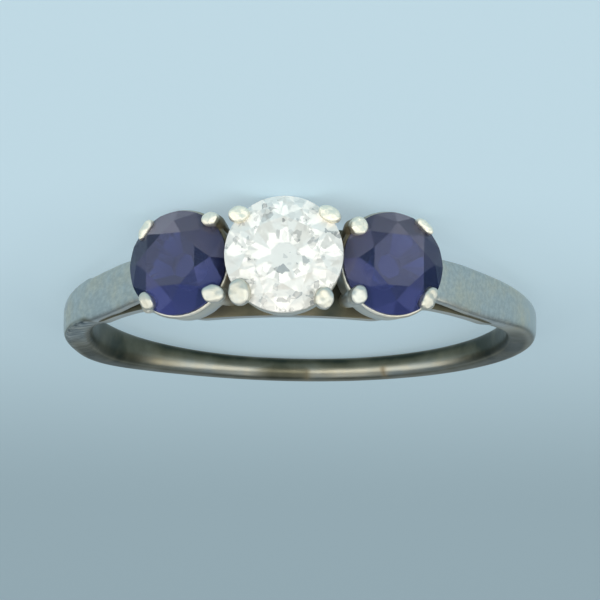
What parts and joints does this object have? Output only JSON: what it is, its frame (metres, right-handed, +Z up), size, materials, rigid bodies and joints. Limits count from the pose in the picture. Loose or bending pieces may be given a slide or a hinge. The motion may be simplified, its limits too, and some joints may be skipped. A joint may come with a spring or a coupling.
{
  "type": "three stone ring",
  "caption": "Finger ring in white metal with round faceted stones in a row: a clear stone between blue ones, each in a claw cup on a band round the finger.",
  "frame": {"origin": "centre of the bounding box's underside, on the surface that the ring lies on", "axes": "+Z up from the surface; -Y toward the middle stone; +X toward the sapphire on the picture's left"},
  "size_m": [0.0196, 0.0226, 0.0047],
  "materials": {
    "white_metal": "worn polish, warm tarnish inside and at the back",
    "diamond": "polished facets",
    "sapphire": "polished facets, lightly worn edges"
  },
  "bodies": {
    "root": {"ring_mount": "white_metal", "centre_diamond": "diamond", "left_sapphire": "sapphire", "right_sapphire": "sapphire"}
  },
  "joints": []
}
